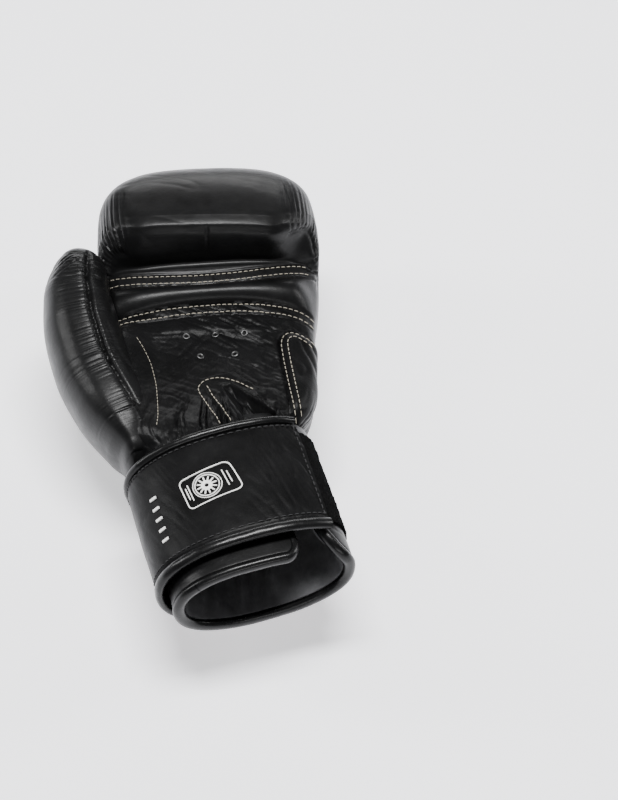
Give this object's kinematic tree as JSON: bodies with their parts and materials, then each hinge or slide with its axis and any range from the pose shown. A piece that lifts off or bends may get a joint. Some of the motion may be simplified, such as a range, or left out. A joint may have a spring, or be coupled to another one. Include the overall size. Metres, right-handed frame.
{
  "type": "boxing glove",
  "caption": "Padded leather boxing glove with attached thumb, ribbed finger grip, vented palm and a wide hook-and-loop wrist strap.",
  "frame": {"origin": "middle of the flat that the padded back rests on, palm up", "axes": "+X to the little-finger side, +Y from the cuff's mouth to the fist, +Z out of the palm"},
  "size_m": [0.1664, 0.3024, 0.1165],
  "materials": {
    "glove_leather": "semi-gloss black cowhide with fine creases",
    "binding_leather": "glossy rolled black leather binding",
    "padding_foam": "layered grey foam padding",
    "lining_cloth": "soft black lining cloth",
    "hook_and_loop": "black hook-and-loop pile",
    "badge_leather": "smooth off-white synthetic leather with a red border",
    "woven_label": "woven off-white label with a red border",
    "eyelet_metal": "dark plated metal"
  },
  "bodies": {
    "mitt": {"back_shell": "glove_leather", "palm_panel": "glove_leather", "finger_panel": "glove_leather", "grip_bar_cover": "glove_leather", "grip_bar_core": "padding_foam", "thumb_web_panel": "glove_leather", "pinky_pad": "glove_leather", "pinky_corner_panel": "glove_leather", "slit_facing": "glove_leather", "slit_gusset": "lining_cloth", "wrist_gusset": "glove_leather", "knuckle_foam_outer": "padding_foam", "knuckle_foam_inner": "padding_foam", "finger_foam": "padding_foam", "hand_lining": "lining_cloth", "oval_badge": "badge_leather", "eyelet_1": "eyelet_metal", "eyelet_2": "eyelet_metal", "eyelet_3": "eyelet_metal", "eyelet_4": "eyelet_metal", "eyelet_5": "eyelet_metal"},
    "thumb": {"thumb_shell": "glove_leather", "thumb_inner_panel": "glove_leather", "thumb_foam": "padding_foam", "thumb_lining": "lining_cloth"},
    "cuff": {"cuff_leather": "glove_leather", "cuff_foam": "padding_foam", "cuff_lining": "lining_cloth", "cuff_mouth_binding": "binding_leather", "tongue_leather": "glove_leather", "tongue_lining": "lining_cloth", "tongue_mouth_binding": "binding_leather", "tongue_end_binding": "binding_leather", "loop_patch": "hook_and_loop", "strap_root": "glove_leather"},
    "strap_palm": {"strap_palm_leather": "glove_leather", "strap_palm_lining": "lining_cloth", "strap_palm_upper_binding": "binding_leather", "strap_palm_lower_binding": "binding_leather"},
    "strap_side": {"strap_side_leather": "glove_leather", "strap_side_lining": "lining_cloth", "strap_side_upper_binding": "binding_leather", "strap_side_lower_binding": "binding_leather"},
    "strap_back": {"strap_back_leather": "glove_leather", "strap_back_lining": "lining_cloth", "strap_back_upper_binding": "binding_leather", "strap_back_lower_binding": "binding_leather", "strap_end_binding": "binding_leather", "hook_patch": "hook_and_loop", "wrist_label": "woven_label"}
  },
  "joints": [
    {"name": "wrist_flex", "type": "hinge", "parent": "mitt", "child": "cuff", "pos_m": [0, -0.088, 0.0655], "axis": [0.9848, 0.1736, 0], "range_deg": [-10, 10], "stiffness_Nm_per_rad": 0.3},
    {"name": "thumb_flex", "type": "hinge", "parent": "mitt", "child": "thumb", "pos_m": [-0.046, -0.094, 0.064], "axis": [0, 0, 1], "range_deg": [0, 5], "stiffness_Nm_per_rad": 0.3},
    {"name": "strap_palm_lift", "type": "hinge", "parent": "cuff", "child": "strap_palm", "pos_m": [0.04403, -0.08024, 0.09191], "axis": [-0.1736, 0.9848, 0], "range_deg": [0, 19]},
    {"name": "strap_side_open", "type": "hinge", "parent": "strap_palm", "child": "strap_side", "pos_m": [-0.0543, -0.09757, 0.08013], "axis": [-0.1736, 0.9848, 0], "range_deg": [0, 74]},
    {"name": "strap_peel", "type": "hinge", "parent": "strap_side", "child": "strap_back", "pos_m": [-0.0543, -0.09757, 0.05087], "axis": [-0.1736, 0.9848, 0], "range_deg": [0, 90]}
  ],
  "couplings": [
    {"joint": "strap_palm_lift", "follows": "strap_peel", "ratio": 0.2},
    {"joint": "strap_side_open", "follows": "strap_peel", "ratio": 0.8}
  ]
}
